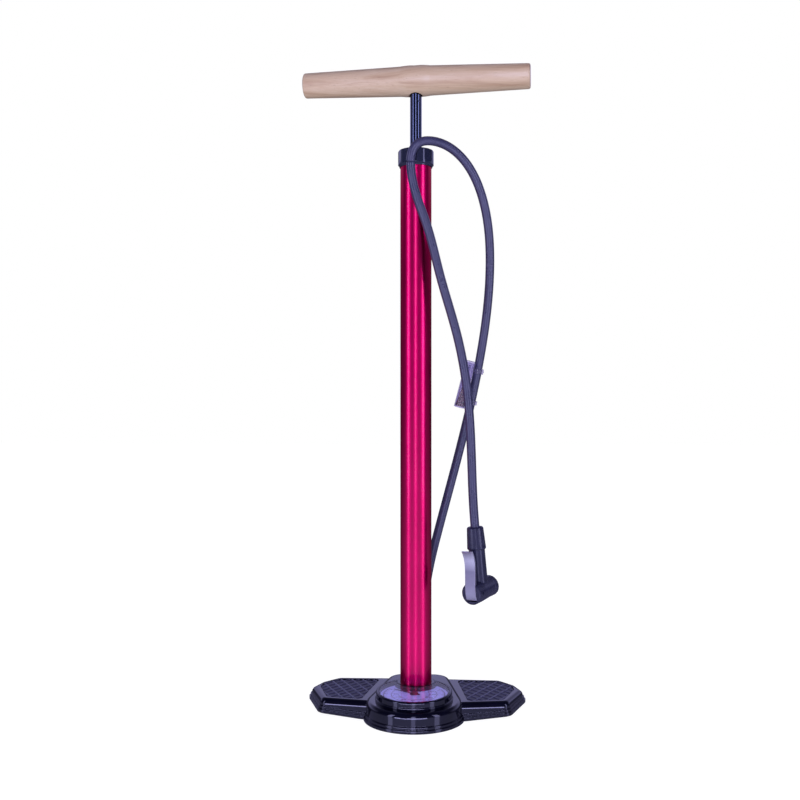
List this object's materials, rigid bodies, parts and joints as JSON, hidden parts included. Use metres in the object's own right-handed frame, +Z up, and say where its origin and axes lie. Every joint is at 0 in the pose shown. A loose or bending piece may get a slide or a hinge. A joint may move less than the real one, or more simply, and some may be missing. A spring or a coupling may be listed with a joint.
{
  "type": "floor bike pump",
  "caption": "Upright floor pump: winged foot base with dial gauge, slim barrel, T-handle on a sliding rod, looped hose and lever-lock valve head.",
  "frame": {"origin": "on the floor, on the barrel's axis", "axes": "+Z up along the barrel, +X along the right foot wing, -Y towards the side the gauge is on"},
  "size_m": [0.235, 0.1492, 0.6596],
  "materials": {
    "base_gloss": "glossy moulded",
    "base_underside": "matt moulded",
    "tread": "fine grained",
    "rubber_black": "matt",
    "barrel_red": "red anodised, satin",
    "rod_black": "black gloss",
    "handle_wood": "satin lacquered ash",
    "steel": "plain",
    "brass": "machined",
    "block_metal": "die cast",
    "lens_clear": "clear polished",
    "dial_print": "printed card",
    "needle_dark": "satin black",
    "hose_rubber": "smooth satin",
    "head_plastic": "satin moulded",
    "lever_silver": "satin silver",
    "holder_violet": "see-through tinted",
    "nylon_white": "natural nylon",
    "felt_grey": "felt"
  },
  "bodies": {
    "base": {"base_shell": "base_gloss", "base_plate": "base_underside", "base_screws": "steel", "wing_feet": "rubber_black", "tread_pad_right": "tread", "tread_pad_left": "tread", "barrel_collar": "base_gloss", "valve_block": "block_metal", "barrel_seal_ring": "rubber_black", "check_valve_cage": "brass", "check_valve_spring": "steel", "hose_outlet": "brass", "gauge_case": "base_underside", "gauge_bezel": "base_gloss", "gauge_lens": "lens_clear", "gauge_dial": "dial_print", "dial_screws": "steel", "bourdon_tube": "brass", "gauge_socket": "brass", "movement_back_plate": "brass", "movement_front_plate": "brass", "hairspring": "steel", "barrel_tube": "barrel_red", "top_cap": "base_gloss", "rod_bushing": "nylon_white", "rod_wiper": "felt_grey", "hose": "hose_rubber", "hose_sleeve": "steel", "accessory_holder": "holder_violet", "cone_adapter": "brass", "ball_needle": "steel"},
    "piston": {"piston_head": "nylon_white", "piston_seal": "rubber_black"},
    "handle": {"piston_rod": "rod_black", "rod_stud": "steel", "piston_nut": "steel", "piston_washer": "steel", "stop_bumper": "rubber_black", "handle": "handle_wood", "handle_insert": "steel", "handle_bolt": "steel", "handle_washer": "steel"},
    "needle": {"gauge_needle": "needle_dark", "pinion_arbor": "brass"},
    "sector": {"sector_gear": "brass"},
    "link": {"bourdon_link": "steel"},
    "check_disc": {"check_valve_disc": "nylon_white"},
    "hose_end": {"hose_tail": "hose_rubber", "hose_nut": "head_plastic", "hose_barb": "brass", "head_body": "head_plastic", "valve_grommet": "rubber_black", "head_cap": "head_plastic", "lever_pin": "steel"},
    "lever": {"head_lever": "lever_silver"},
    "plunger": {"plunger": "nylon_white"}
  },
  "joints": [
    {"name": "piston_slide", "type": "slide", "parent": "base", "child": "piston", "axis": [0, 0, 1], "range_m": [0, 0.49]},
    {"name": "handle_spin", "type": "hinge", "parent": "piston", "child": "handle", "pos_m": [0, 0, 0.046], "axis": [0, 0, 1], "continuous": true},
    {"name": "needle_turn", "type": "hinge", "parent": "base", "child": "needle", "pos_m": [0, -0.029, 0.0185], "axis": [0, -0.0401, 0.9992], "range_deg": [0, 240]},
    {"name": "sector_turn", "type": "hinge", "parent": "base", "child": "sector", "pos_m": [-0.00916, -0.03815, 0.01813], "axis": [0, -0.0401, 0.9992], "range_deg": [-38, 0.5]},
    {"name": "link_turn", "type": "hinge", "parent": "sector", "child": "link", "pos_m": [-0.01411, -0.0431, 0.01793], "axis": [0, -0.0401, 0.9992], "range_deg": [-0.5, 38]},
    {"name": "check_valve_lift", "type": "slide", "parent": "base", "child": "check_disc", "axis": [0, 0, -1], "range_m": [0, 0.0012], "stiffness_N_per_m": 150, "springref_m": -0.002, "deforming": ["check_valve_spring"]},
    {"name": "hose_swing", "type": "hinge", "parent": "base", "child": "hose_end", "pos_m": [-0.0039, -0.021, 0.549], "axis": [-1, 0, 0], "range_deg": [0, 45]},
    {"name": "lever_pivot", "type": "hinge", "parent": "hose_end", "child": "lever", "pos_m": [0.06, -0.0305, 0.1258], "axis": [0.8391, -0.5398, 0.0675], "range_deg": [0, 90]},
    {"name": "plunger_slide", "type": "slide", "parent": "hose_end", "child": "plunger", "axis": [0.5321, 0.8401, 0.105], "range_m": [0, 0.0024]}
  ],
  "couplings": [
    {"joint": "sector_turn", "follows": "needle_turn", "ratio": -0.15625},
    {"joint": "link_turn", "follows": "needle_turn", "ratio": 0.15625},
    {"joint": "lever_pivot", "follows": "plunger_slide", "rad_per_m": 654.5}
  ]
}
